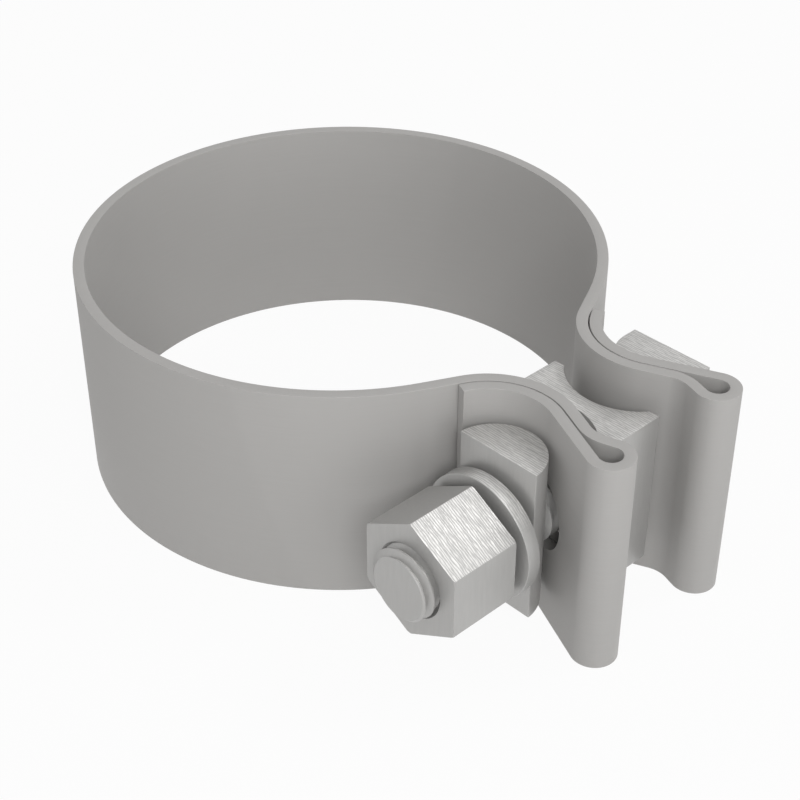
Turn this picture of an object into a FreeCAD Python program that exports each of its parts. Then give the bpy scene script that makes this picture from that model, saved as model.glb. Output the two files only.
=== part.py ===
import FreeCAD, Part
import math
import os
from FreeCAD import Vector

# Flat band exhaust clamp, in millimetres. The origin is on the axis of the hoop, at the
# band's lower edge. +Z runs along the pipe, +X points to the ears and +Y runs along the bolt.

# Bolt, with its thread as a plain round of the thread's outer size, and a low hexagon head
bolt_radius = 4.95
bolt_offset = 0.4
bolt_end_past_nut = 2.1
bolt_end_chamfer = 0.5
head_height = 4.0
hole_clearance = 0.3

# Hexagon of the nut and of the bolt's head
hexagon_wall = 2.65
corner_break = 0.35
corner_break_angle = 30.0

# Nut
nut_height = 10.65
thread_clearance = 0.05
nut_bore_chamfer = 0.5

# Flat washer
washer_rim = 3.55
washer_thickness = 2.05
washer_edge = 0.2

# Half-round bars that seat in the ears
bar_wall = 1.15
bar_flat_cut = 0.25
bar_height = 23.0
bar_edge = 0.25
bar_fit = 1.6
head_bar_side = 2.05

# Folded band: one strip of stainless steel
bore_radius = 36.2
band_width = 31.75
strip_thickness = 1.59
root_straight = 5.3
ear_gap = 10.0
leg_gap = 0.2
ear_slope = 23.9
leg_flat = 3.98
crest_radius = 4.0
crest_dip = 18.0
fold_radius = 1.59
return_wrap = 68.5

# Slots punched through both legs of each ear
slot_clearance = 0.6
slot_run = 2.5

# Spacer block, as thick as the gap between the ears and hollowed on both sides
spacer_land = 1.61
spacer_height = 23.0
spacer_waist = 2.65
hollow_radius = 8.92
spacer_edge = 0.25

# Loose play of the hardware before the clamp is tightened
nut_side_lift = 0.75
head_side_lift = 1.6
washer_play = 1.17
nut_play = 1.17

# Sizes round the bolt
hole_radius = bolt_radius + hole_clearance
slot_width = 2 * (bolt_radius + slot_clearance)
washer_radius = hole_radius + washer_rim
bar_radius = hole_radius + bar_wall
pocket_radius = bar_radius + bar_fit

# Middle lines of the strip, and the centre that each ear is bent round
hoop_radius = bore_radius + strip_thickness / 2
return_radius = pocket_radius + strip_thickness / 2
bend_radius = return_radius + strip_thickness + leg_gap
bend_y = ear_gap / 2 + strip_thickness / 2 + bend_radius
bend_x = math.sqrt((hoop_radius + bend_radius) ** 2 + root_straight ** 2 - bend_y ** 2)

# Axis of the bolt
bolt_x = bend_x + bolt_offset
bolt_z = band_width / 2

# Places along the bolt, from the seat in the ears outwards
seat_y = bend_y - math.sqrt(bar_fit ** 2 - bolt_offset ** 2) - bar_radius
nut_bar_centre = -(seat_y + nut_side_lift + bar_radius)
nut_bar_flat = nut_bar_centre + bar_flat_cut
head_bar_centre = seat_y + head_side_lift + bar_radius
head_bar_flat = head_bar_centre + head_bar_side
washer_back = nut_bar_flat - washer_play
washer_front = washer_back - washer_thickness
nut_back = washer_front - nut_play
nut_front = nut_back - nut_height
bolt_end = nut_front - bolt_end_past_nut


def across(heading, distance):
    """Vector square to a heading, to its left where the distance is positive."""
    angle = math.radians(heading + 90)
    return Vector(distance * math.cos(angle), distance * math.sin(angle), 0)


def side_of_straight(place, heading, side, length):
    """Edge of the strip beside a straight step."""
    start = place + across(heading, side)
    return Part.LineSegment(start, start + across(heading - 90, length)).toShape()


def side_of_turn(centre, heading, arm, angle):
    """Edge of the strip beside a turn, at a signed arm from the turn's centre."""
    start, middle, end = (centre + across(heading + angle * share, arm) for share in (0, 0.5, 1))
    return Part.Arc(start, middle, end).toShape()


def strip_outline(place, heading, steps):
    """Edge-on face of a strip, walked along its middle line.

    A step is (length,) for a straight, or (radius, angle) for a turn, positive to the left.
    """
    left, right = [], []
    sides = ((strip_thickness / 2, left), (-strip_thickness / 2, right))
    for step in steps:
        if len(step) == 1:
            for side, edges in sides:
                edges.append(side_of_straight(place, heading, side, step[0]))
            place = place + across(heading - 90, step[0])
        else:
            radius, angle = step
            reach = math.copysign(radius, angle)
            centre = place + across(heading, reach)
            for side, edges in sides:
                edges.append(side_of_turn(centre, heading, side - reach, angle))
            heading = heading + angle
            place = centre - across(heading, reach)
    start_cut = Part.makeLine(right[0].Vertexes[0].Point, left[0].Vertexes[0].Point)
    end_cut = Part.makeLine(left[-1].Vertexes[-1].Point, right[-1].Vertexes[-1].Point)
    return Part.Face(Part.Wire(left + [end_cut] + right[::-1] + [start_cut]))


def ear_steps(root_angle):
    """Steps of one ear, from the hoop out to the fold and back to the strip's cut end."""
    fold_line = fold_radius + strip_thickness / 2
    crest_line = crest_radius + strip_thickness / 2
    crest_turn = ear_slope + crest_dip
    sine = math.sin(math.radians(crest_turn))
    cosine = math.cos(math.radians(crest_turn))
    corner_trim = crest_line * math.tan(math.radians(crest_turn / 2))
    fold_to_corner = (fold_line * (1 + cosine) - strip_thickness - leg_gap) / sine
    corner_back = fold_line * sine + fold_to_corner * cosine
    return [
        (root_straight,),
        (bend_radius, 90 - root_angle + ear_slope),
        (leg_flat,),
        (crest_line, -crest_turn),
        (fold_to_corner - corner_trim,),
        (fold_line, 180 + crest_turn),
        (leg_flat + corner_trim + corner_back,),
        (return_radius, -(ear_slope + return_wrap)),
    ]


def bolt_slot():
    """Slot with round ends, through both ears."""
    round_end = slot_width / 2
    first_x = bolt_x - slot_run / 2
    slot = Part.makeBox(slot_run, 2 * bend_y, slot_width, Vector(first_x, -bend_y, bolt_z - round_end))
    for end_x in (first_x, first_x + slot_run):
        end = Part.makeCylinder(round_end, 2 * bend_y, Vector(end_x, -bend_y, bolt_z), Vector(0, 1, 0))
        slot = slot.fuse(end)
    return slot


def band():
    """Whole strip: cut end, ear, hoop, ear, cut end."""
    root_turn = math.atan2(root_straight, hoop_radius + bend_radius)
    root_angle = math.degrees(math.atan2(bend_y, bend_x) + root_turn)
    ear = ear_steps(root_angle)
    hoop = (hoop_radius, 2 * root_angle - 360)
    wrap = math.radians(return_wrap)
    cut_end = Vector(bend_x - return_radius * math.sin(wrap), return_radius * math.cos(wrap) - bend_y, 0)
    outline = strip_outline(cut_end, return_wrap, ear[::-1] + [hoop] + ear)
    return outline.extrude(Vector(0, 0, band_width)).cut(bolt_slot())


def turned_piece(outline):
    """Solid turned about the bolt's axis from (radius, y) corners."""
    corners = [Vector(bolt_x + radius, y, bolt_z) for radius, y in outline]
    face = Part.Face(Part.makePolygon(corners + corners[:1]))
    return face.revolve(Vector(bolt_x, 0, bolt_z), Vector(0, 1, 0), 360)


def bolt_hole(low, high):
    """Clearance hole for the bolt."""
    return Part.makeCylinder(hole_radius, high - low, Vector(bolt_x, low, bolt_z), Vector(0, 1, 0))


def hexagon(low, high, first_corner):
    """Hexagon bar along the bolt, with its corners broken at both ends."""
    corner_radius = 2 * (bolt_radius + hexagon_wall) / math.sqrt(3)
    corners = []
    for corner in range(7):
        angle = math.radians(first_corner + 60 * corner)
        x = bolt_x + corner_radius * math.cos(angle)
        corners.append(Vector(x, low, bolt_z + corner_radius * math.sin(angle)))
    bar = Part.Face(Part.makePolygon(corners)).extrude(Vector(0, high - low, 0))
    face_radius = corner_radius - corner_break
    slant = corner_break * math.tan(math.radians(corner_break_angle))
    outline = [(0, low), (face_radius, low), (corner_radius, low + slant)]
    outline += [(corner_radius, high - slant), (face_radius, high), (0, high)]
    return bar.common(turned_piece(outline))


def nut():
    """Nut with a corner upwards. Its bore is the size of the bolt's plain round."""
    bore = bolt_radius + thread_clearance
    mouth = bore + nut_bore_chamfer
    inner_front = nut_front + nut_bore_chamfer
    inner_back = nut_back - nut_bore_chamfer
    outline = [(0, nut_front), (mouth, nut_front), (bore, inner_front)]
    outline += [(bore, inner_back), (mouth, nut_back), (0, nut_back)]
    return hexagon(nut_front, nut_back, 90).cut(turned_piece(outline))


def bolt():
    """Bolt with its head on the far bar, a flat of the head upwards."""
    tip = bolt_radius - bolt_end_chamfer
    outline = [(0, bolt_end), (tip, bolt_end), (bolt_radius, bolt_end + bolt_end_chamfer)]
    outline += [(bolt_radius, head_bar_flat), (0, head_bar_flat)]
    head = hexagon(head_bar_flat, head_bar_flat + head_height, 0)
    return turned_piece(outline).fuse(head).removeSplitter()


def washer():
    """Flat washer with softened outer edges."""
    rim = washer_radius - washer_edge
    outline = [(hole_radius, washer_front), (rim, washer_front), (washer_radius, washer_front + washer_edge)]
    outline += [(washer_radius, washer_back - washer_edge), (rim, washer_back), (hole_radius, washer_back)]
    return turned_piece(outline)


def is_upright_at(edge, y):
    """Whether an edge stands upright at a place along the bolt."""
    box = edge.BoundBox
    return box.ZLength > 1 and box.YLength < 0.01 and abs(box.YMin - y) < 0.01


def half_round_bar(centre_y, flat_y, towards_ear):
    """Half-round bar on end, its flat away from the ear. towards_ear is 1 or -1 along Y.

    Where the flat is behind the round's centre, the sides run straight between the two.
    """
    round_y = towards_ear * max(towards_ear * centre_y, towards_ear * flat_y)
    half_width = math.sqrt(bar_radius ** 2 - (round_y - centre_y) ** 2)
    base_z = bolt_z - bar_height / 2
    left = Vector(bolt_x - half_width, round_y, base_z)
    right = Vector(bolt_x + half_width, round_y, base_z)
    nose = Vector(bolt_x, centre_y + towards_ear * bar_radius, base_z)
    behind = Vector(0, flat_y - round_y, 0)
    corners = [right, right + behind, left + behind, left] if behind.Length else [right, left]
    outline = [Part.Arc(left, nose, right).toShape()]
    outline += [Part.makeLine(start, end) for start, end in zip(corners, corners[1:])]
    bar = Part.Face(Part.Wire(outline)).extrude(Vector(0, 0, bar_height))
    sharp = [edge for edge in bar.Edges if not behind.Length or not is_upright_at(edge, round_y)]
    bar = bar.makeChamfer(bar_edge, sharp)
    return bar.cut(bolt_hole(centre_y - 2 * bar_radius, centre_y + 2 * bar_radius))


def spacer_block():
    """Block between the ears, waisted by a round hollow that faces each ear."""
    hollow_y = spacer_waist / 2 + hollow_radius
    half_mouth = math.sqrt(hollow_radius ** 2 - (hollow_y - ear_gap / 2) ** 2)
    half_length = half_mouth + spacer_land
    base_z = bolt_z - spacer_height / 2
    corner = Vector(bolt_x - half_length, -ear_gap / 2, base_z)
    block = Part.makeBox(2 * half_length, ear_gap, spacer_height, corner)
    for side in (-hollow_y, hollow_y):
        foot = Vector(bolt_x, side, base_z)
        block = block.cut(Part.makeCylinder(hollow_radius, spacer_height, foot))
    block = block.makeChamfer(spacer_edge, block.Edges)
    return block.cut(bolt_hole(-ear_gap, ear_gap))


nodes = {
    "band": band(),
    "spacer_block": spacer_block(),
    "nut_side_bar": half_round_bar(nut_bar_centre, nut_bar_flat, 1),
    "head_side_bar": half_round_bar(head_bar_centre, head_bar_flat, -1),
    "washer": washer(),
    "nut": nut(),
    "bolt": bolt(),
}

os.makedirs("parts", exist_ok=True)
for name, shape in nodes.items():
    solid = shape.Solids[0]
    solid.exportStep("parts/" + name + ".step")
    print(name, "valid", solid.isValid(), "solids", len(shape.Solids), "volume", round(solid.Volume, 1))
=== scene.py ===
"""Exhaust clamp: a folded steel band drawn together by a bolt and nut, on a pale studio floor."""

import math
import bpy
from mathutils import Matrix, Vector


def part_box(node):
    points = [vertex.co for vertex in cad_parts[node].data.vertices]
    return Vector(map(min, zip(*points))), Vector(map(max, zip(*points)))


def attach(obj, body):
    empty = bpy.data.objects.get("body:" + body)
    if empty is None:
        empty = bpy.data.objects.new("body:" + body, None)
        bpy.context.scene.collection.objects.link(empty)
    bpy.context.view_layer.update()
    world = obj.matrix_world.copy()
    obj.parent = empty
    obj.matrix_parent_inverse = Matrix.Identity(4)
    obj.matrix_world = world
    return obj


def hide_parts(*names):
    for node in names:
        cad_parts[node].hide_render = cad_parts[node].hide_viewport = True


bl_info = {
    "name": "Exhaust Clamp",
    "version": (1, 0, 0),
    "blender": (4, 5, 0),
    "location": "View3D > Sidebar > Exhaust Clamp",
    "description": "Builds a flat band exhaust clamp, with its bolt, nut, washer, bars and spacer",
    "category": "Add Mesh",
}

import bmesh
import bpy
from bpy.props import FloatProperty, FloatVectorProperty, IntProperty, PointerProperty
from mathutils import Matrix, Vector

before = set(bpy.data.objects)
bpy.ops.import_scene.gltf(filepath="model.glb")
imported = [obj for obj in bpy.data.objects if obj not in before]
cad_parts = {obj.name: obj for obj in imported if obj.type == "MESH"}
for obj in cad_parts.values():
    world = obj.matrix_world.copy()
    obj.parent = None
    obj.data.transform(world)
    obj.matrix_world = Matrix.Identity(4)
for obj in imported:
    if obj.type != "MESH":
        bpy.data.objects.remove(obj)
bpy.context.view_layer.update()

# A millimetre in metres, and the lowest and highest corner of each node at rest
MM = 0.001
BAND_LOW, BAND_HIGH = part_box("band")
SPACER_LOW, SPACER_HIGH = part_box("spacer_block")
NUT_LOW, NUT_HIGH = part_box("nut")
BOLT_LOW, BOLT_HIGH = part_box("bolt")
WASHER_LOW, WASHER_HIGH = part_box("washer")
NEAR_BAR_LOW, NEAR_BAR_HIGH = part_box("nut_side_bar")
FAR_BAR_LOW, FAR_BAR_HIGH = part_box("head_side_bar")

# Axis of the bolt, which runs along +Y from its threaded end to its head
AXIS_X = (WASHER_LOW.x + WASHER_HIGH.x) / 2
AXIS_Z = (WASHER_LOW.z + WASHER_HIGH.z) / 2
ALONG_BOLT = Vector((0, 1, 0))
UP = Vector((0, 0, 1))

# Side from which the hardware was brushed and from which its faces get painted light. The cosine
# between it and the way that a face looks says how strongly the face is brushed and how pale it is
# painted: from the first value below it grows over the second to full.
BRUSHED_AND_LIT_SIDE = Vector((0.3, 0, 0.954))
BRUSHED_FROM = 0.78
BRUSHED_FADE = 0.12

# Distances under which two points become one: in a solid, where an outline closes, where a turn
# of the thread meets the next, and where a plane cuts it off
WELD = 0.0005 * MM
OUTLINE_WELD = 0.001 * MM
TURN_WELD = 0.005 * MM
CUT_TOLERANCE = 1e-7

# Turn of one facet along the strip and along other outlines
STRIP_STEP = math.radians(2)
OUTLINE_STEP = math.radians(3)

# Facets all the way round
TURNED_FACETS = 96
HOLE_FACETS = 112
WASHER_FACETS = 128
BOLT_FACETS = 144

# Angles from which an edge is shaded as a sharp one, and from which it is rounded
SHARP_ANGLE = math.radians(30)
ROUNDED_ANGLE = math.radians(35)

# Slopes of a thread's flanks and of a hexagon's turned corners
THREAD_FLANK = math.radians(30)
CORNER_SLOPE = math.radians(30)

# Most of a noise's values lie between these. The roughness is how strong its finer grains are.
NOISE_RANGE = (0.25, 0.75)
NOISE_ROUGHNESS = 0.6

# Places of a Mix node's colour sockets: its inputs A and B, and its result
MIX_A, MIX_B, MIX_RESULT = 6, 7, 2

# Name of each lamp, its direction from the clamp, its distance and the length of its side
LAMPS = (
    ("key", (0.3, 0.56, 0.77), 1.0, 0.3),
    ("side", (0.95, -0.2, 0.25), 0.5, 0.3),
    ("fill", (0.66, -0.48, 0.58), 1.0, 0.35),
)


def length(name, description, default):
    """Property for a length in metres."""
    return FloatProperty(name=name, description=description, default=default, min=0,
                         subtype="DISTANCE", unit="LENGTH", precision=5)


def angle(name, description, degrees):
    """Property for an angle, given in degrees and kept in radians."""
    return FloatProperty(name=name, description=description, default=math.radians(degrees),
                         subtype="ANGLE", unit="ROTATION")


def share(name, description, default):
    """Property for a share from 0 to 1."""
    return FloatProperty(name=name, description=description, default=default, min=0, max=1,
                         subtype="FACTOR")


def power(name, description, watts):
    """Property for the power of a lamp."""
    return FloatProperty(name=name, description=description, default=watts, min=0, unit="POWER")


def colour(name, description, default):
    """Property for a colour."""
    return FloatVectorProperty(name=name, description=description, default=default,
                               size=3, min=0, max=1, subtype="COLOR")


class ClampBandSettings(bpy.types.PropertyGroup):
    """Sizes of the folded strip."""

    bore_radius: length("Bore radius", "Radius of the hoop's bore", 36.2 * MM)
    thickness: length("Strip thickness", "Thickness of the steel strip", 1.59 * MM)
    edge_round: length("Edge round", "Rounding of the strip's rolled edges", 0.06 * MM)
    root_straight: length("Root straight", "Straight stretch between the hoop and the ear", 5.3 * MM)
    ear_gap: length("Ear gap", "Gap between the two ears", 10.0 * MM)
    leg_gap: length("Leg gap", "Gap between the ear and its returned leg", 0.2 * MM)
    ear_slope: angle("Ear slope", "Slope of the ear outside its pocket", 23.9)
    leg_flat: length("Leg flat", "Flat stretch of the ear outside its pocket", 3.98 * MM)
    crest_radius: length("Crest radius", "Inner radius of the crest before the fold", 4.0 * MM)
    crest_dip: angle("Crest dip", "Turn of the crest past level", 18.0)
    fold_radius: length("Fold radius", "Inner radius of the fold at the ear's tip", 1.59 * MM)
    return_wrap: angle("Return wrap", "How far the returned leg wraps round the pocket", 68.5)
    bar_fit: length("Bar fit", "How much larger the pocket's radius is than the bar's", 1.6 * MM)
    slot_clearance: length("Slot clearance", "Room between the bolt and the slot", 0.6 * MM)
    slot_run: length("Slot run", "How much longer than wide the slot is", 2.5 * MM)


class ClampHardwareSettings(bpy.types.PropertyGroup):
    """Sizes of the bolt and of the pieces on it."""

    bolt_radius: length("Bolt radius", "Outer radius of the bolt and its thread", 4.95 * MM)
    hole_clearance: length("Hole clearance", "Room between the bolt and a hole", 0.3 * MM)
    pitch: length("Thread pitch", "Distance between turns of the thread", 1.5 * MM)
    thread_depth: length("Thread depth", "Depth of the bolt's thread", 0.92 * MM)
    thread_flat: length("Thread crest", "Width of the flat on the thread's crest", 0.19 * MM)
    thread_run: length("Thread run", "Length of the thread from the bolt's end", 27.0 * MM)
    nut_clearance: length("Nut clearance", "Room between the threads of bolt and nut", 0.06 * MM)
    nut_minor: length("Nut inner radius", "Radius of the nut's bore at its crests", 4.19 * MM)
    hexagon_wall: length("Hexagon wall", "From the bolt's side to a flat of the hexagon", 2.65 * MM)
    corner_break: length("Corner break", "How far the hexagon's corners are turned off", 0.2 * MM)
    edge_round: length("Edge round", "Rounding of the hexagon's long edges", 0.06 * MM)
    bar_wall: length("Bar wall", "Steel beside the hole in a half-round bar", 1.15 * MM)
    bar_edge: length("Bar edge", "Rounding of the half-round bars' edges", 0.08 * MM)
    washer_edge: length("Washer edge", "Rounding of the washer's edges", 0.07 * MM)
    mouth_chamfer: length("Mouth chamfer", "Chamfer outside the nut's thread", 0.25 * MM)
    tip_chamfer: length("Tip chamfer", "Chamfer at the bolt's threaded end", 0.5 * MM)
    spacer_edge: length("Spacer edge", "Rounding of the spacer's edges", 0.08 * MM)
    spacer_waist: length("Spacer waist", "Thickness of the spacer between its hollows", 2.65 * MM)
    hollow_radius: length("Hollow radius", "Radius of the hollows in the spacer", 8.92 * MM)
    turn_steps: IntProperty(name="Thread steps", description="Facets in one turn of the thread",
                            default=48, min=12, max=96)


class ClampFinishSettings(bpy.types.PropertyGroup):
    """Colours and roughness of the steel."""

    band_colour: colour("Band colour", "Colour of the rolled strip", (0.44, 0.4315, 0.421))
    hardware_colour: colour("Hardware colour", "Colour of the brushed pieces", (0.435, 0.43, 0.42))
    band_metal: share("Band metal", "How much of the strip's shine is bare metal's", 0.5)
    hardware_metal: share("Hardware metal", "How much of the pieces' shine is bare metal's", 0.45)
    band_roughness: share("Band roughness", "Roughness of the rolled strip", 0.75)
    hardware_roughness: share("Hardware roughness", "Roughness of the brushed pieces", 0.42)
    streak_length: length("Streak length", "Length of a brushed streak", 2.0 * MM)
    streak_width: length("Streak width", "Width of a brushed streak", 0.35 * MM)
    streak_depth: length("Streak depth", "Depth of a brushed streak", 0.015 * MM)
    streak_tone: share("Streak tone", "How far the streaks change the colour", 0.2)
    # Painted light: faces that look up and towards +X are painted this much paler, as if lit from
    # there
    painted_light_lift: share("Painted light lift", "How much paler the faces with painted light are", 0.25)


class ClampStageSettings(bpy.types.PropertyGroup):
    """Camera, lamps and floor."""

    focal_length: FloatProperty(name="Focal length", description="Focal length of the camera",
                                default=75.64, min=10, unit="CAMERA")
    camera_place: FloatVectorProperty(name="Camera place", description="Where the camera stands",
                                      default=(0.15593, -0.13786, 0.15162), subtype="TRANSLATION",
                                      unit="LENGTH", precision=5)
    camera_tilt: angle("Camera tilt", "Turn of the camera up from straight down", 54.7586)
    camera_turn: angle("Camera turn", "Turn of the camera about the vertical", 46.2315)
    floor_size: length("Floor size", "Side of the square floor", 6.0)
    floor_colour: colour("Floor colour", "Colour of the floor", (0.75, 0.75, 0.75))
    floor_shadow: share("Floor shadow", "How much of the shadow on the floor is seen", 0.06)
    surround: share("Surround", "Strength of the light that the surroundings give", 0.45)
    key_power: power("Key power", "Power of the soft lamp above and behind the ears", 1.4)
    side_power: power("Side power", "Power of the soft lamp in front of the folds", 0.3)
    fill_power: power("Fill power", "Power of the soft lamp by the camera", 4.4)


def left_of(heading):
    """Unit vector square to a heading, to its left."""
    return Vector((-math.sin(heading), math.cos(heading), 0))


def ahead_of(heading):
    """Unit vector along a heading."""
    return Vector((math.cos(heading), math.sin(heading), 0))


def vertices_in(geometry):
    """Vertices among mixed geometry."""
    return [item for item in geometry if isinstance(item, bmesh.types.BMVert)]


def walk(bm, geometry, place, heading, steps, turn_step):
    """Extrudes a vertex or a section along a path, and returns what is at its end.

    A step is (length,) for a straight, (radius, angle) for a turn, and (0, angle) for a corner.
    """
    for step in steps:
        if len(step) == 1:
            reach = ahead_of(heading) * step[0]
            geometry = bmesh.ops.extrude_face_region(bm, geom=geometry)["geom"]
            bmesh.ops.translate(bm, verts=vertices_in(geometry), vec=reach)
            place = place + reach
            continue
        radius, turn = step
        side = math.copysign(radius, turn)
        centre = place + left_of(heading) * side
        if radius > 0:
            facets = max(2, round(abs(turn) / turn_step))
            geometry = bmesh.ops.spin(bm, geom=geometry, cent=centre, axis=UP, dvec=(0, 0, 0),
                                      angle=turn, space=Matrix(), steps=facets, use_merge=False,
                                      use_normal_flip=False, use_duplicate=False)["geom_last"]
        heading += turn
        place = centre - left_of(heading) * side
    return geometry


def outline_face(bm, start, heading, steps):
    """Flat face inside a closed path of straights and turns."""
    first = bmesh.ops.create_vert(bm, co=start)["vert"]
    walk(bm, first, Vector(start), heading, steps, OUTLINE_STEP)
    bmesh.ops.remove_doubles(bm, verts=bm.verts[:], dist=OUTLINE_WELD)
    return bmesh.ops.contextual_create(bm, geom=bm.edges[:])["faces"][0]


def raise_face(bm, face, height):
    """Extrudes a flat face straight up."""
    whole = [face, *face.edges, *face.verts]
    raised = bmesh.ops.extrude_face_region(bm, geom=whole)["geom"]
    bmesh.ops.translate(bm, verts=vertices_in(raised), vec=UP * height)
    bmesh.ops.recalc_face_normals(bm, faces=bm.faces[:])


def round_edges(bm, offset):
    """Rounds the edges where two faces meet at a sharp angle."""
    sharp = [edge for edge in bm.edges if edge.calc_face_angle(0) > ROUNDED_ANGLE]
    bmesh.ops.bevel(bm, geom=sharp, offset=offset, offset_type="OFFSET", segments=2,
                    profile=0.5, affect="EDGES", clamp_overlap=True, material=-1,
                    miter_outer="SHARP", miter_inner="SHARP", loop_slide=True)


def round_corners(bm, offset, segments=3):
    """Rounds the corners of a flat outline."""
    bmesh.ops.bevel(bm, geom=bm.verts[:], offset=offset, offset_type="OFFSET", segments=segments,
                    profile=0.5, affect="VERTICES", clamp_overlap=True, material=-1)


def piece_from(bm, name):
    """New object from a bmesh, with its normals outwards."""
    bmesh.ops.remove_doubles(bm, verts=bm.verts[:], dist=WELD)
    bmesh.ops.recalc_face_normals(bm, faces=bm.faces[:])
    mesh = bpy.data.meshes.new(name)
    bm.to_mesh(mesh)
    bm.free()
    piece = bpy.data.objects.new(name, mesh)
    bpy.context.scene.collection.objects.link(piece)
    return piece


def combine(piece, tool, operation):
    """Joins, cuts or intersects a piece with another, which is used up."""
    modifier = piece.modifiers.new("combine", "BOOLEAN")
    modifier.object = tool
    modifier.operation = operation
    modifier.solver = "EXACT"
    graph = bpy.context.evaluated_depsgraph_get()
    mesh = bpy.data.meshes.new_from_object(piece.evaluated_get(graph))
    piece.modifiers.remove(modifier)
    old_mesh, tool_mesh = piece.data, tool.data
    piece.data = mesh
    bpy.data.objects.remove(tool)
    bpy.data.meshes.remove(old_mesh)
    bpy.data.meshes.remove(tool_mesh)
    mesh.name = piece.name
    return piece


def mark_brushed_and_lit(mesh):
    """Marks each face's strong brushing and painted light, by the way that it faces."""
    # The mark also sets how much painted light the face gets, as if lit from that side
    marks = mesh.attributes.new("brushed", "FLOAT", "FACE")
    for face, mark in zip(mesh.polygons, marks.data):
        squareness = face.normal.dot(BRUSHED_AND_LIT_SIDE)
        mark.value = min(1, max(0, (squareness - BRUSHED_FROM) / BRUSHED_FADE))


def finish_piece(piece, node, body, material):
    """Cleans and smooths a piece, gives it its finish and lets it stand for its node."""
    bm = bmesh.new()
    bm.from_mesh(piece.data)
    bmesh.ops.remove_doubles(bm, verts=bm.verts[:], dist=WELD)
    bmesh.ops.dissolve_degenerate(bm, edges=bm.edges[:], dist=WELD)
    loose = [vertex for vertex in bm.verts if not vertex.link_faces]
    bmesh.ops.delete(bm, geom=loose, context="VERTS")
    bm.to_mesh(piece.data)
    bm.free()
    piece.data.shade_smooth()
    piece.data.set_sharp_from_angle(angle=SHARP_ANGLE)
    mark_brushed_and_lit(piece.data)
    piece.data.materials.clear()
    piece.data.materials.append(material)
    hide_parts(node)
    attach(piece, body)


def onto_bolt(turn=0.0):
    """Matrix that turns a piece about the world's Y axis and takes it onto the bolt's axis."""
    return Matrix.Translation((AXIS_X, 0, AXIS_Z)) @ Matrix.Rotation(turn, 4, "Y")


def turned_piece(name, profile, facets=TURNED_FACETS):
    """Solid turned on the bolt's axis from (radius, y) points, the first and last on the axis."""
    bm = bmesh.new()
    points = [bmesh.ops.create_vert(bm, co=(radius, y, 0))["vert"][0] for radius, y in profile]
    edges = [bm.edges.new(pair) for pair in zip(points, points[1:])]
    bmesh.ops.spin(bm, geom=points + edges, cent=(0, 0, 0), axis=ALONG_BOLT, dvec=(0, 0, 0),
                   angle=math.tau, space=Matrix(), steps=facets, use_merge=True,
                   use_normal_flip=False, use_duplicate=False)
    bmesh.ops.remove_doubles(bm, verts=bm.verts[:], dist=WELD)
    bmesh.ops.transform(bm, matrix=onto_bolt(), verts=bm.verts[:])
    return piece_from(bm, name)


def hole_tool(low, high, hardware):
    """Round tool for a hole that clears the bolt."""
    radius = hardware.bolt_radius + hardware.hole_clearance
    profile = [(0, low), (radius, low), (radius, high), (0, high)]
    return turned_piece("hole_tool", profile, HOLE_FACETS)


def threaded_rod(name, low, high, root, crest, hardware):
    """Rod with a right-hand thread along the bolt, cut square at both ends.

    Every thread starts at the same turn, two before the bolt's end, so bolt and nut mesh.
    """
    pitch, facets = hardware.pitch, hardware.turn_steps
    half_flat = hardware.thread_flat / 2
    flank = (crest - root) * math.tan(THREAD_FLANK)
    profile = [(root, -pitch / 2), (root, -half_flat - flank), (crest, -half_flat),
               (crest, half_flat), (root, half_flat + flank), (root, pitch / 2)]
    spare_turns = 2
    first_turn = BOLT_LOW.y - spare_turns * pitch
    turns = math.ceil((high - first_turn) / pitch) + spare_turns
    bm = bmesh.new()
    points = [bmesh.ops.create_vert(bm, co=(radius, first_turn + y, 0))["vert"][0]
              for radius, y in profile]
    edges = [bm.edges.new(pair) for pair in zip(points, points[1:])]
    bmesh.ops.spin(bm, geom=points + edges, cent=(0, 0, 0), axis=ALONG_BOLT,
                   dvec=ALONG_BOLT * (pitch / facets), angle=math.tau * turns, space=Matrix(),
                   steps=facets * turns, use_merge=False, use_normal_flip=False,
                   use_duplicate=False)
    bmesh.ops.remove_doubles(bm, verts=bm.verts[:], dist=TURN_WELD)
    for end, outwards in ((low, -ALONG_BOLT), (high, ALONG_BOLT)):
        everything = bm.verts[:] + bm.edges[:] + bm.faces[:]
        cut = bmesh.ops.bisect_plane(bm, geom=everything, dist=CUT_TOLERANCE,
                                     plane_co=(0, end, 0), plane_no=outwards,
                                     clear_outer=True)["geom_cut"]
        rim = [item for item in cut if isinstance(item, bmesh.types.BMEdge)]
        bmesh.ops.contextual_create(bm, geom=rim)
    bmesh.ops.transform(bm, matrix=onto_bolt(), verts=bm.verts[:])
    return piece_from(bm, name)


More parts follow.
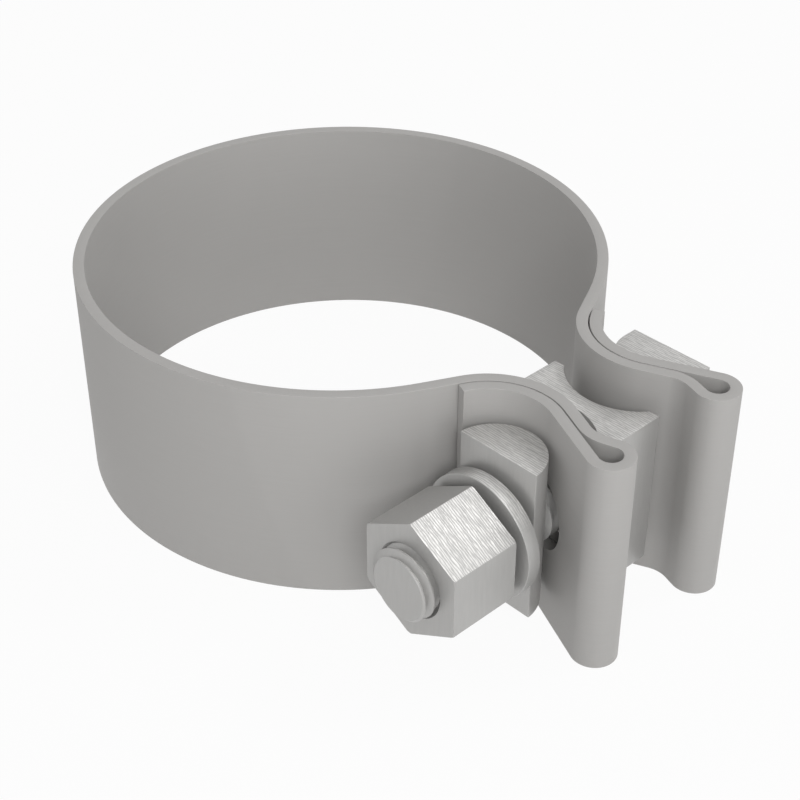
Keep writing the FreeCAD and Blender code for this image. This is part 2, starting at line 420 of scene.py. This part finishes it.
def hexagon_piece(name, low, high, turn, hardware):
    """Hexagon along the bolt, turned about it, its long edges eased and its corners turned off."""
    corner_radius = 2 * (hardware.bolt_radius + hardware.hexagon_wall) / math.sqrt(3)
    bm = bmesh.new()
    bmesh.ops.create_circle(bm, cap_ends=True, segments=6, radius=corner_radius)
    raise_face(bm, bm.faces[:][0], high - low)
    long_edges = [edge for edge in bm.edges if abs(edge.verts[0].co.z - edge.verts[1].co.z) > MM]
    bmesh.ops.bevel(bm, geom=long_edges, offset=hardware.edge_round, offset_type="OFFSET",
                    segments=3, profile=0.5, affect="EDGES", clamp_overlap=True, material=-1)
    lay_along = Matrix.Translation((0, high, 0)) @ Matrix.Rotation(math.pi / 2, 4, "X")
    bmesh.ops.transform(bm, matrix=onto_bolt(turn) @ lay_along, verts=bm.verts[:])
    bar = piece_from(bm, name)
    face_radius = corner_radius - hardware.corner_break
    clear_radius = corner_radius + hardware.corner_break
    slant = (clear_radius - face_radius) * math.tan(CORNER_SLOPE)
    blank = turned_piece("blank", [(0, low), (face_radius, low), (clear_radius, low + slant),
                                   (clear_radius, high - slant), (face_radius, high), (0, high)])
    return combine(bar, blank, "INTERSECT")


def bar_radius(hardware):
    """Radius of the round side of a half-round bar."""
    return hardware.bolt_radius + hardware.hole_clearance + hardware.bar_wall


def ear_steps(band, pocket_radius, bend_radius, root_angle):
    """Steps of one ear, from the hoop out to the fold and back to the strip's cut end.

    They follow the middle of the strip. The flat between crest and fold is as long as it takes
    for the fold to bring the strip back along its own ear, a leg gap away.
    """
    half = band.thickness / 2
    fold_line = band.fold_radius + half
    crest_line = band.crest_radius + half
    crest_turn = band.ear_slope + band.crest_dip
    trim = crest_line * math.tan(crest_turn / 2)
    closing = fold_line * (1 + math.cos(crest_turn)) - band.thickness - band.leg_gap
    to_corner = closing / math.sin(crest_turn)
    back = fold_line * math.sin(crest_turn) + to_corner * math.cos(crest_turn)
    return [
        (band.root_straight,),
        (bend_radius, math.radians(90) - root_angle + band.ear_slope),
        (band.leg_flat,),
        (crest_line, -crest_turn),
        (to_corner - trim,),
        (fold_line, math.radians(180) + crest_turn),
        (band.leg_flat + trim + back,),
        (pocket_radius + half, -(band.ear_slope + band.return_wrap)),
    ]


def folded_strip(band, hardware):
    """Strip from one cut end round the hoop to the other, as one closed solid."""
    width = BAND_HIGH.z - BAND_LOW.z
    hoop_radius = band.bore_radius + band.thickness / 2
    pocket_radius = bar_radius(hardware) + band.bar_fit
    return_radius = pocket_radius + band.thickness / 2
    bend_radius = return_radius + band.thickness + band.leg_gap
    bend_y = band.ear_gap / 2 + band.thickness / 2 + bend_radius
    arm = math.hypot(hoop_radius + bend_radius, band.root_straight)
    bend_x = math.sqrt(arm ** 2 - bend_y ** 2)
    root_turn = math.atan2(band.root_straight, hoop_radius + bend_radius)
    root_angle = math.atan2(bend_y, bend_x) + root_turn
    ear = ear_steps(band, pocket_radius, bend_radius, root_angle)
    hoop = (hoop_radius, 2 * root_angle - math.tau)
    wrap = band.return_wrap
    start = Vector((bend_x, -bend_y, 0)) + left_of(wrap) * return_radius
    bm = bmesh.new()
    bmesh.ops.create_grid(bm, x_segments=1, y_segments=1, size=0.5)
    bmesh.ops.scale(bm, vec=(band.thickness, width, 1), verts=bm.verts[:])
    round_corners(bm, band.edge_round)
    across, ahead = left_of(wrap), ahead_of(wrap)
    stand = Matrix((across, UP, ahead)).transposed().to_4x4()
    centre = start + UP * (BAND_LOW.z + width / 2)
    bmesh.ops.transform(bm, matrix=Matrix.Translation(centre) @ stand, verts=bm.verts[:])
    section = bm.faces[:] + bm.edges[:] + bm.verts[:]
    walk(bm, section, start, wrap, ear[::-1] + [hoop] + ear, STRIP_STEP)
    return piece_from(bm, "band_strip")


def slot_tool(band, hardware):
    """Tool with round ends that punches the bolt's slot through both ears."""
    round_end = hardware.bolt_radius + band.slot_clearance
    half_run = band.slot_run / 2
    depth = BAND_HIGH.y - BAND_LOW.y
    bm = bmesh.new()
    side = [(band.slot_run,), (round_end, math.pi)]
    face = outline_face(bm, (-half_run, -round_end, 0), 0.0, side * 2)
    raise_face(bm, face, depth)
    lay_along = Matrix.Translation((0, depth / 2, 0)) @ Matrix.Rotation(math.pi / 2, 4, "X")
    bmesh.ops.transform(bm, matrix=onto_bolt() @ lay_along, verts=bm.verts[:])
    return piece_from(bm, "slot_tool")


def half_round_bar(name, low, high, towards_ear, hardware):
    """Half-round bar between two corners of its node, with the hole for the bolt.

    Its round side looks towards +Y where towards_ear is 1, and towards -Y where it is -1. Where
    the node is deeper than a half round, its sides run straight up to the flat, and where it is
    shallower, the flat cuts the round short.
    """
    radius = bar_radius(hardware)
    side = high.y - low.y - radius
    cut_angle = math.asin(max(0, -side) / radius)
    half_flat = radius * math.cos(cut_angle)
    flat_y = low.y if towards_ear > 0 else high.y
    bm = bmesh.new()
    straight = [(side,)] if side > 0 else []
    steps = straight + [(radius, math.pi - 2 * cut_angle)] + straight
    steps += [(0, math.pi / 2 + cut_angle), (2 * half_flat,)]
    face = outline_face(bm, (half_flat, 0, 0), math.pi / 2 + cut_angle, steps)
    raise_face(bm, face, high.z - low.z)
    round_edges(bm, hardware.bar_edge)
    place = Matrix.Translation((AXIS_X, flat_y, low.z))
    if towards_ear < 0:
        place = place @ Matrix.Rotation(math.pi, 4, "Z")
    bmesh.ops.transform(bm, matrix=place, verts=bm.verts[:])
    bar = piece_from(bm, name)
    return combine(bar, hole_tool(low.y - radius, high.y + radius, hardware), "DIFFERENCE")


def spacer_block(hardware):
    """Block between the ears, hollowed on both sides, with the hole for the bolt."""
    half_length = (SPACER_HIGH.x - SPACER_LOW.x) / 2
    half_gap = (SPACER_HIGH.y - SPACER_LOW.y) / 2
    hollow = hardware.hollow_radius
    rise = hardware.spacer_waist / 2 + hollow - half_gap
    half_mouth = math.sqrt(hollow ** 2 - rise ** 2)
    lip = math.asin(rise / hollow)
    land = (half_length - half_mouth,)
    square, into_hollow = (0, math.pi / 2), (0, math.pi / 2 - lip)
    sweep = (hollow, 2 * lip - math.pi)
    side = [(2 * half_gap,), square, land, into_hollow, sweep, into_hollow, land, square]
    bm = bmesh.new()
    face = outline_face(bm, (half_length, -half_gap, 0), math.pi / 2, side * 2)
    raise_face(bm, face, SPACER_HIGH.z - SPACER_LOW.z)
    round_edges(bm, hardware.spacer_edge)
    bmesh.ops.translate(bm, vec=(AXIS_X, 0, SPACER_LOW.z), verts=bm.verts[:])
    block = piece_from(bm, "spacer_between_ears")
    return combine(block, hole_tool(-2 * half_gap, 2 * half_gap, hardware), "DIFFERENCE")


def flat_washer(hardware):
    """Washer with rounded edges, turned from its section."""
    inner = hardware.bolt_radius + hardware.hole_clearance
    outer = (WASHER_HIGH.z - WASHER_LOW.z) / 2
    thickness = WASHER_HIGH.y - WASHER_LOW.y
    bm = bmesh.new()
    bmesh.ops.create_grid(bm, x_segments=1, y_segments=1, size=0.5)
    bmesh.ops.scale(bm, vec=(outer - inner, thickness, 1), verts=bm.verts[:])
    round_corners(bm, hardware.washer_edge, segments=4)
    middle = ((inner + outer) / 2, WASHER_LOW.y + thickness / 2, 0)
    bmesh.ops.translate(bm, vec=middle, verts=bm.verts[:])
    bmesh.ops.delete(bm, geom=bm.faces[:], context="FACES_ONLY")
    bmesh.ops.spin(bm, geom=bm.verts[:] + bm.edges[:], cent=(0, 0, 0), axis=ALONG_BOLT,
                   dvec=(0, 0, 0), angle=math.tau, space=Matrix(), steps=WASHER_FACETS,
                   use_merge=True, use_normal_flip=False, use_duplicate=False)
    bmesh.ops.transform(bm, matrix=onto_bolt(), verts=bm.verts[:])
    return piece_from(bm, "flat_washer")


def threaded_nut(hardware):
    """Hexagon nut, with its thread and its countersunk mouths.

    The tap and the countersinks run on past the nut and into its open bore, so that no face of
    a tool lies on a face that is kept.
    """
    nut = hexagon_piece("hexagon_nut", NUT_LOW.y, NUT_HIGH.y, 0, hardware)
    crest = hardware.bolt_radius + hardware.nut_clearance
    root = hardware.nut_minor
    over = hardware.pitch
    tap = threaded_rod("tap", NUT_LOW.y - over, NUT_HIGH.y + over, root, crest, hardware)
    nut = combine(nut, tap, "DIFFERENCE")
    mouth = crest + hardware.mouth_chamfer
    core = root - over
    for end, outwards in ((NUT_LOW.y, -1), (NUT_HIGH.y, 1)):
        inner = end - (mouth - core) * outwards
        outer = end + over * outwards
        profile = [(0, inner), (core, inner), (mouth + over, outer), (0, outer)]
        nut = combine(nut, turned_piece("countersink", profile), "DIFFERENCE")
    return nut


def threaded_bolt(hardware):
    """Bolt with a low hexagon head, a plain shank and a rolled thread at its end.

    The thread is cut to a blank that tapers at the tip and at the thread's inner end. The shank
    starts as a thinner core inside the thread and ends inside the head, so that each two of them
    overlap where they join.
    """
    radius = hardware.bolt_radius
    depth = hardware.thread_depth
    root, clear = radius - depth, radius + depth
    tip_radius = radius - hardware.tip_chamfer
    core = root - hardware.tip_chamfer
    tip = BOLT_LOW.y
    run_out = tip + hardware.thread_run
    core_end = run_out - hardware.pitch
    seat = FAR_BAR_HIGH.y
    bolt = threaded_rod("threaded_bolt", tip - depth, run_out + depth, root, radius, hardware)
    blank = [(0, tip), (tip_radius, tip), (clear, tip + clear - tip_radius),
             (clear, run_out - clear + root), (root, run_out), (0, run_out)]
    bolt = combine(bolt, turned_piece("thread_blank", blank, BOLT_FACETS), "INTERSECT")
    shank = [(0, core_end), (core, core_end), (core, run_out), (radius, run_out + depth),
             (radius, seat + depth), (0, seat + depth)]
    bolt = combine(bolt, turned_piece("shank", shank, BOLT_FACETS), "UNION")
    head = hexagon_piece("hexagon_head", seat, BOLT_HIGH.y, math.pi / 6, hardware)
    return combine(bolt, head, "UNION")


def empty_tree(owner):
    """Node tree of a material or world, with nothing in it."""
    owner.use_nodes = True
    owner.node_tree.nodes.clear()
    return owner.node_tree


def add_node(tree, kind, settings=(), sockets=(), links=()):
    """New node with its settings, socket values and incoming links, each as (name, value) pairs."""
    node = tree.nodes.new("ShaderNode" + kind)
    for name, value in settings:
        setattr(node, name, value)
    for name, value in sockets:
        node.inputs[name].default_value = value
    for name, source in links:
        tree.links.new(source, node.inputs[name])
    return node


def stretched(tree, place, sizes):
    """Coordinates in which a length of 1 is the given size along each axis."""
    scale = [1 / size for size in sizes]
    mapping = add_node(tree, "Mapping", sockets=[("Scale", scale)], links=[("Vector", place)])
    return mapping.outputs["Vector"]


def soft_grain(tree, place, sizes, detail=3.0):
    """Noise whose grains have the given size along each axis."""
    noise = add_node(tree, "TexNoise", sockets=[("Scale", 1.0), ("Detail", detail),
                                                ("Roughness", NOISE_ROUGHNESS)],
                     links=[("Vector", stretched(tree, place, sizes))])
    return noise.outputs["Fac"]


def scratches(tree, place, sizes):
    """Scratches side by side along Y, which wander and run into each other."""
    # A wave texture turns by 20 radians in a length of 1, and at this scale by one whole wave
    one_wave = math.tau / 20
    wander = 5.5
    waves = add_node(tree, "TexWave", settings=[("bands_direction", "Y")],
                     sockets=[("Scale", one_wave), ("Distortion", wander), ("Detail", 2.0),
                              ("Detail Scale", 1 / one_wave),
                              ("Detail Roughness", NOISE_ROUGHNESS)],
                     links=[("Vector", stretched(tree, place, sizes))])
    return waves.outputs["Fac"]


def spread(tree, source, low, high, between=(0.0, 1.0)):
    """Value between two levels, taken to the levels low and high."""
    start, stop = between
    node = add_node(tree, "MapRange", sockets=[("From Min", start), ("From Max", stop),
                                               ("To Min", low), ("To Max", high)],
                    links=[("Value", source)])
    return node.outputs["Result"]


def product(tree, first, second):
    """Two values multiplied."""
    node = add_node(tree, "Math", settings=[("operation", "MULTIPLY")])
    tree.links.new(first, node.inputs[0])
    tree.links.new(second, node.inputs[1])
    return node.outputs["Value"]


def bumped(tree, height, strength, distance):
    """Normal of a surface with a height on it."""
    bump = add_node(tree, "Bump", sockets=[("Strength", strength), ("Distance", distance)],
                    links=[("Height", height)])
    return bump.outputs["Normal"]


def toned(tree, base, tone):
    """Colour made lighter or darker by a factor."""
    grey = add_node(tree, "CombineColor", links=[("Red", tone), ("Green", tone), ("Blue", tone)])
    mix = add_node(tree, "Mix", settings=[("data_type", "RGBA"), ("blend_type", "MULTIPLY")],
                   sockets=[("Factor", 1.0)])
    mix.inputs[MIX_A].default_value = (*base, 1)
    tree.links.new(grey.outputs["Color"], mix.inputs[MIX_B])
    return mix.outputs[MIX_RESULT]


def steel_surface(tree, metal, colour_source, roughness_source, normal_source):
    """Metal shader and its output."""
    steel = add_node(tree, "BsdfPrincipled", sockets=[("Metallic", metal)],
                     links=[("Base Color", colour_source), ("Roughness", roughness_source),
                            ("Normal", normal_source)])
    add_node(tree, "OutputMaterial", links=[("Surface", steel.outputs["BSDF"])])


def rolled_steel(finish):
    """Smooth rolled strip with a faint grain along it and a soft mottle."""
    material = bpy.data.materials.new("rolled_steel")
    tree = empty_tree(material)
    place = add_node(tree, "TexCoord").outputs["Object"]
    grain_length, grain_width, grain_depth = 9 * MM, 0.12 * MM, 0.004 * MM
    mottle_size = 14 * MM
    grain = soft_grain(tree, place, (grain_length, grain_length, grain_width), detail=2.0)
    mottle = soft_grain(tree, place, (mottle_size, mottle_size, mottle_size))
    light, dark = 1.015, 0.985
    tone = product(tree, spread(tree, grain, dark, light, NOISE_RANGE),
                   spread(tree, mottle, dark, light, NOISE_RANGE))
    roughness, unevenness, bump_strength = finish.band_roughness, 0.03, 0.5
    uneven = spread(tree, mottle, roughness - unevenness, roughness + unevenness, NOISE_RANGE)
    steel_surface(tree, finish.band_metal, toned(tree, finish.band_colour, tone), uneven,
                  bumped(tree, grain, bump_strength, grain_depth))
    return material


def brushed_steel(finish):
    """Brushed pieces: strong streaks along X on the marked faces, faint upright ones elsewhere."""
    material = bpy.data.materials.new("brushed_steel")
    tree = empty_tree(material)
    place = add_node(tree, "TexCoord").outputs["Object"]
    # Mark of the strongly brushed faces, which also says where the painted light goes
    marked = add_node(tree, "Attribute", settings=[("attribute_name", "brushed")]).outputs["Fac"]
    long, fine = finish.streak_length, finish.streak_width
    strong = scratches(tree, place, (long, fine, long))
    faint = soft_grain(tree, place, (fine, fine, 2 * long))
    faint_low, faint_high = 0.42, 0.58
    height = add_node(tree, "Mix", links=[
        ("Factor", marked), ("A", spread(tree, faint, faint_low, faint_high, NOISE_RANGE)),
        ("B", strong)])
    streaks = height.outputs["Result"]
    light, dark = 1 + finish.streak_tone, 1 - finish.streak_tone
    # Painted light: the marked faces, which look up, are painted paler by the lift, besides their
    # streaks
    tone = product(tree, spread(tree, streaks, dark, light),
                   spread(tree, marked, 1.0, 1 + finish.painted_light_lift))
    roughness, unevenness, bump_strength = finish.hardware_roughness, 0.06, 1.0
    uneven = spread(tree, streaks, roughness + unevenness, roughness - unevenness)
    steel_surface(tree, finish.hardware_metal, toned(tree, finish.hardware_colour, tone), uneven,
                  bumped(tree, streaks, bump_strength, finish.streak_depth))
    return material


def finish_hardware(piece, node, body, finish):
    """Finishes a piece of the hardware, all of which is in one brushed steel."""
    steel = bpy.data.materials.get("brushed_steel") or brushed_steel(finish)
    finish_piece(piece, node, body, steel)


def seen_directly(tree):
    """Factor that is 1 for camera, glossy and transmission rays."""
    path = add_node(tree, "LightPath")
    total = path.outputs["Is Camera Ray"]
    for name in ("Is Glossy Ray", "Is Transmission Ray"):
        both = add_node(tree, "Math", settings=[("operation", "MAXIMUM")])
        tree.links.new(total, both.inputs[0])
        tree.links.new(path.outputs[name], both.inputs[1])
        total = both.outputs["Value"]
    return total


def studio_world(stage):
    """White surroundings, dimmer as a light than as a background."""
    world = bpy.data.worlds.new("studio")
    bpy.context.scene.world = world
    tree = empty_tree(world)
    strength = spread(tree, seen_directly(tree), stage.surround, 1.0)
    light = add_node(tree, "Background", sockets=[("Color", (1, 1, 1, 1))],
                     links=[("Strength", strength)])
    add_node(tree, "OutputWorld", links=[("Surface", light.outputs["Background"])])


def studio_floor(stage):
    """Pale floor that keeps a faint shadow of the clamp."""
    material = bpy.data.materials.new("pale_floor")
    tree = empty_tree(material)
    paint = add_node(tree, "BsdfDiffuse", sockets=[("Color", (*stage.floor_colour, 1))])
    glow = add_node(tree, "Emission", sockets=[("Color", (1, 1, 1, 1)), ("Strength", 1.0)])
    factor = spread(tree, seen_directly(tree), 0.0, 1 - stage.floor_shadow)
    mix = add_node(tree, "MixShader", links=[("Fac", factor)])
    tree.links.new(paint.outputs["BSDF"], mix.inputs[1])
    tree.links.new(glow.outputs["Emission"], mix.inputs[2])
    add_node(tree, "OutputMaterial", links=[("Surface", mix.outputs["Shader"])])
    bm = bmesh.new()
    bmesh.ops.create_grid(bm, x_segments=1, y_segments=1, size=stage.floor_size / 2)
    bmesh.ops.translate(bm, vec=UP * BAND_LOW.z, verts=bm.verts[:])
    floor = piece_from(bm, "floor")
    floor.data.materials.append(material)


def soft_lamp(name, direction, distance, side, watts):
    """Square soft lamp that shines from a direction on the middle of the clamp."""
    light = bpy.data.lights.new(name, "AREA")
    light.shape = "SQUARE"
    light.size = side
    light.energy = watts
    lamp = bpy.data.objects.new(name, light)
    bpy.context.scene.collection.objects.link(lamp)
    aim = Vector(direction).normalized()
    lamp.location = Vector((AXIS_X / 2, 0, AXIS_Z)) + aim * distance
    lamp.rotation_euler = aim.to_track_quat("Z", "Y").to_euler()


class CLAMP_OT_band(bpy.types.Operator):
    """Add the band: one strip folded into an ear at each end"""

    bl_idname = "clamp.band"
    bl_label = "Folded Band"

    def execute(self, context):
        scene = context.scene
        strip = folded_strip(scene.clamp_band, scene.clamp_hardware)
        tool = slot_tool(scene.clamp_band, scene.clamp_hardware)
        band = combine(strip, tool, "DIFFERENCE")
        finish_piece(band, "band", "clamp", rolled_steel(scene.clamp_finish))
        return {"FINISHED"}


class CLAMP_OT_spacer(bpy.types.Operator):
    """Add the spacer block between the ears"""

    bl_idname = "clamp.spacer"
    bl_label = "Spacer Block"

    def execute(self, context):
        block = spacer_block(context.scene.clamp_hardware)
        finish_hardware(block, "spacer_block", "clamp", context.scene.clamp_finish)
        return {"FINISHED"}


class CLAMP_OT_bars(bpy.types.Operator):
    """Add the two half-round bars that seat in the ears"""

    bl_idname = "clamp.bars"
    bl_label = "Half-Round Bars"

    def execute(self, context):
        hardware, finish = context.scene.clamp_hardware, context.scene.clamp_finish
        near = half_round_bar("bar_under_nut", NEAR_BAR_LOW, NEAR_BAR_HIGH, 1, hardware)
        far = half_round_bar("bar_under_head", FAR_BAR_LOW, FAR_BAR_HIGH, -1, hardware)
        finish_hardware(near, "nut_side_bar", "nut_side_bar", finish)
        finish_hardware(far, "head_side_bar", "bolt", finish)
        return {"FINISHED"}


class CLAMP_OT_washer(bpy.types.Operator):
    """Add the flat washer"""

    bl_idname = "clamp.washer"
    bl_label = "Flat Washer"

    def execute(self, context):
        ring = flat_washer(context.scene.clamp_hardware)
        finish_hardware(ring, "washer", "washer", context.scene.clamp_finish)
        return {"FINISHED"}


class CLAMP_OT_nut(bpy.types.Operator):
    """Add the hexagon nut with its thread"""

    bl_idname = "clamp.nut"
    bl_label = "Hexagon Nut"

    def execute(self, context):
        nut = threaded_nut(context.scene.clamp_hardware)
        finish_hardware(nut, "nut", "nut", context.scene.clamp_finish)
        return {"FINISHED"}


class CLAMP_OT_bolt(bpy.types.Operator):
    """Add the bolt with its thread and head"""

    bl_idname = "clamp.bolt"
    bl_label = "Threaded Bolt"

    def execute(self, context):
        bolt = threaded_bolt(context.scene.clamp_hardware)
        finish_hardware(bolt, "bolt", "bolt", context.scene.clamp_finish)
        return {"FINISHED"}


class CLAMP_OT_stage(bpy.types.Operator):
    """Add the floor, the lamps and the camera"""

    bl_idname = "clamp.stage"
    bl_label = "Studio Stage"

    def execute(self, context):
        scene = context.scene
        stage = scene.clamp_stage
        scene.view_settings.view_transform = "Standard"
        studio_world(stage)
        studio_floor(stage)
        for name, direction, distance, side in LAMPS:
            soft_lamp(name, direction, distance, side, getattr(stage, name + "_power"))
        lens = bpy.data.cameras.new("camera")
        lens.lens = stage.focal_length
        camera = bpy.data.objects.new("camera", lens)
        camera.location = stage.camera_place
        camera.rotation_euler = (stage.camera_tilt, 0, stage.camera_turn)
        scene.collection.objects.link(camera)
        scene.camera = camera
        return {"FINISHED"}


class CLAMP_PT_panel(bpy.types.Panel):
    """Settings of the clamp and a button for each of its pieces"""

    bl_idname = "CLAMP_PT_panel"
    bl_label = "Exhaust Clamp"
    bl_space_type = "VIEW_3D"
    bl_region_type = "UI"
    bl_category = "Exhaust Clamp"

    def draw(self, context):
        for name, settings in SETTINGS.items():
            box = self.layout.box()
            box.label(text=settings.__doc__)
            group = getattr(context.scene, name)
            for setting in settings.__annotations__:
                box.prop(group, setting)
        for operator in OPERATORS:
            self.layout.operator(operator.bl_idname)


SETTINGS = {
    "clamp_band": ClampBandSettings,
    "clamp_hardware": ClampHardwareSettings,
    "clamp_finish": ClampFinishSettings,
    "clamp_stage": ClampStageSettings,
}
OPERATORS = (CLAMP_OT_band, CLAMP_OT_spacer, CLAMP_OT_bars, CLAMP_OT_washer, CLAMP_OT_nut,
             CLAMP_OT_bolt, CLAMP_OT_stage)


def register():
    """Registers the settings, the operators and the panel."""
    for settings in SETTINGS.values():
        bpy.utils.register_class(settings)
    for name, settings in SETTINGS.items():
        setattr(bpy.types.Scene, name, PointerProperty(type=settings))
    for operator in OPERATORS:
        bpy.utils.register_class(operator)
    bpy.utils.register_class(CLAMP_PT_panel)


def unregister():
    """Takes away what register added, in the opposite order."""
    bpy.utils.unregister_class(CLAMP_PT_panel)
    for operator in reversed(OPERATORS):
        bpy.utils.unregister_class(operator)
    for name in SETTINGS:
        delattr(bpy.types.Scene, name)
    for settings in SETTINGS.values():
        bpy.utils.unregister_class(settings)


def main():
    register()
    bpy.ops.clamp.band()
    bpy.ops.clamp.spacer()
    bpy.ops.clamp.bars()
    bpy.ops.clamp.washer()
    bpy.ops.clamp.nut()
    bpy.ops.clamp.bolt()
    bpy.ops.clamp.stage()


if __name__ == "__main__":
    main()
